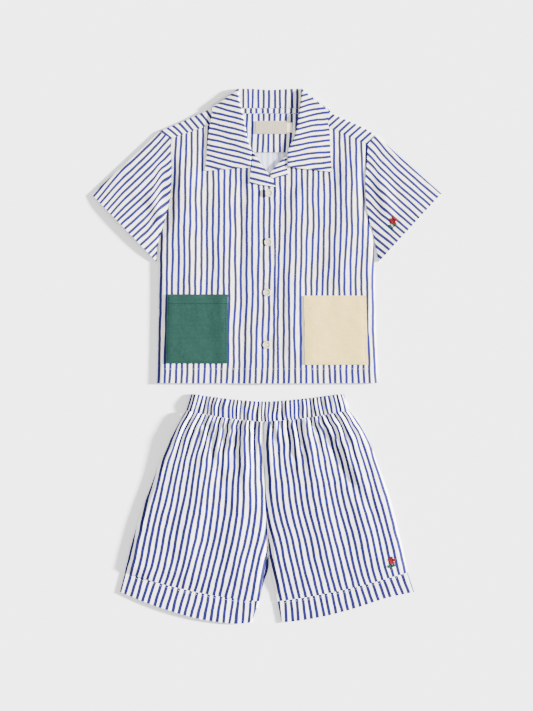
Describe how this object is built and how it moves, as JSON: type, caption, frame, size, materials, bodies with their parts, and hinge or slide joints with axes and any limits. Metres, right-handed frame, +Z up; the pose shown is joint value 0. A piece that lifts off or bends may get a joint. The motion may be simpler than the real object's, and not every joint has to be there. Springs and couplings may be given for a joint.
{
  "type": "child's striped shirt and shorts set, laid flat",
  "caption": "Child's co-ord set laid flat: a striped camp-collar shirt with short sleeves and patch pockets above matching pull-on shorts with a gathered waist and turned cuffs.",
  "frame": {"origin": "centre of the whole layout's box, on the surface that the set lies on", "axes": "+X to the right of the picture, the wearer's left; +Y to the top of the picture, from the shorts to the collar; +Z up from the surface towards the viewer"},
  "size_m": [0.5245, 0.8028, 0.0083],
  "materials": {
    "shirt_cloth": "white plain-weave cotton with narrow blue stripes, matt",
    "shorts_cloth": "white plain-weave cotton with narrow dark-blue stripes, matt",
    "inside_cloth": "wrong side of the striped cotton and a cotton binding, matt",
    "pocket_green": "dull green cotton, matt",
    "pocket_cream": "cream cotton with topstitched edges, matt",
    "label_linen": "slubbed natural linen, blank",
    "tab_white": "white woven tab, blank",
    "button": "ivory plastic, four-hole, soft shine"
  },
  "bodies": {
    "root": {"shirt_back": "shirt_cloth", "shirt_front_right": "shirt_cloth", "shirt_front_left": "shirt_cloth", "shirt_yoke": "shirt_cloth", "yoke_lining": "inside_cloth", "neck_tape": "inside_cloth", "neck_label": "label_linen", "size_tab": "tab_white", "collar": "shirt_cloth", "lapel_right": "shirt_cloth", "lapel_left": "shirt_cloth", "sleeve_right": "shirt_cloth", "sleeve_left": "shirt_cloth", "pocket_green": "pocket_green", "pocket_cream": "pocket_cream", "button_1": "button", "button_2": "button", "button_3": "button", "button_4": "button", "shorts_front_right": "shorts_cloth", "shorts_front_left": "shorts_cloth", "shorts_back_right": "shorts_cloth", "shorts_back_left": "shorts_cloth", "waistband": "shorts_cloth", "cuff_right": "shorts_cloth", "cuff_left": "shorts_cloth"}
  },
  "joints": []
}
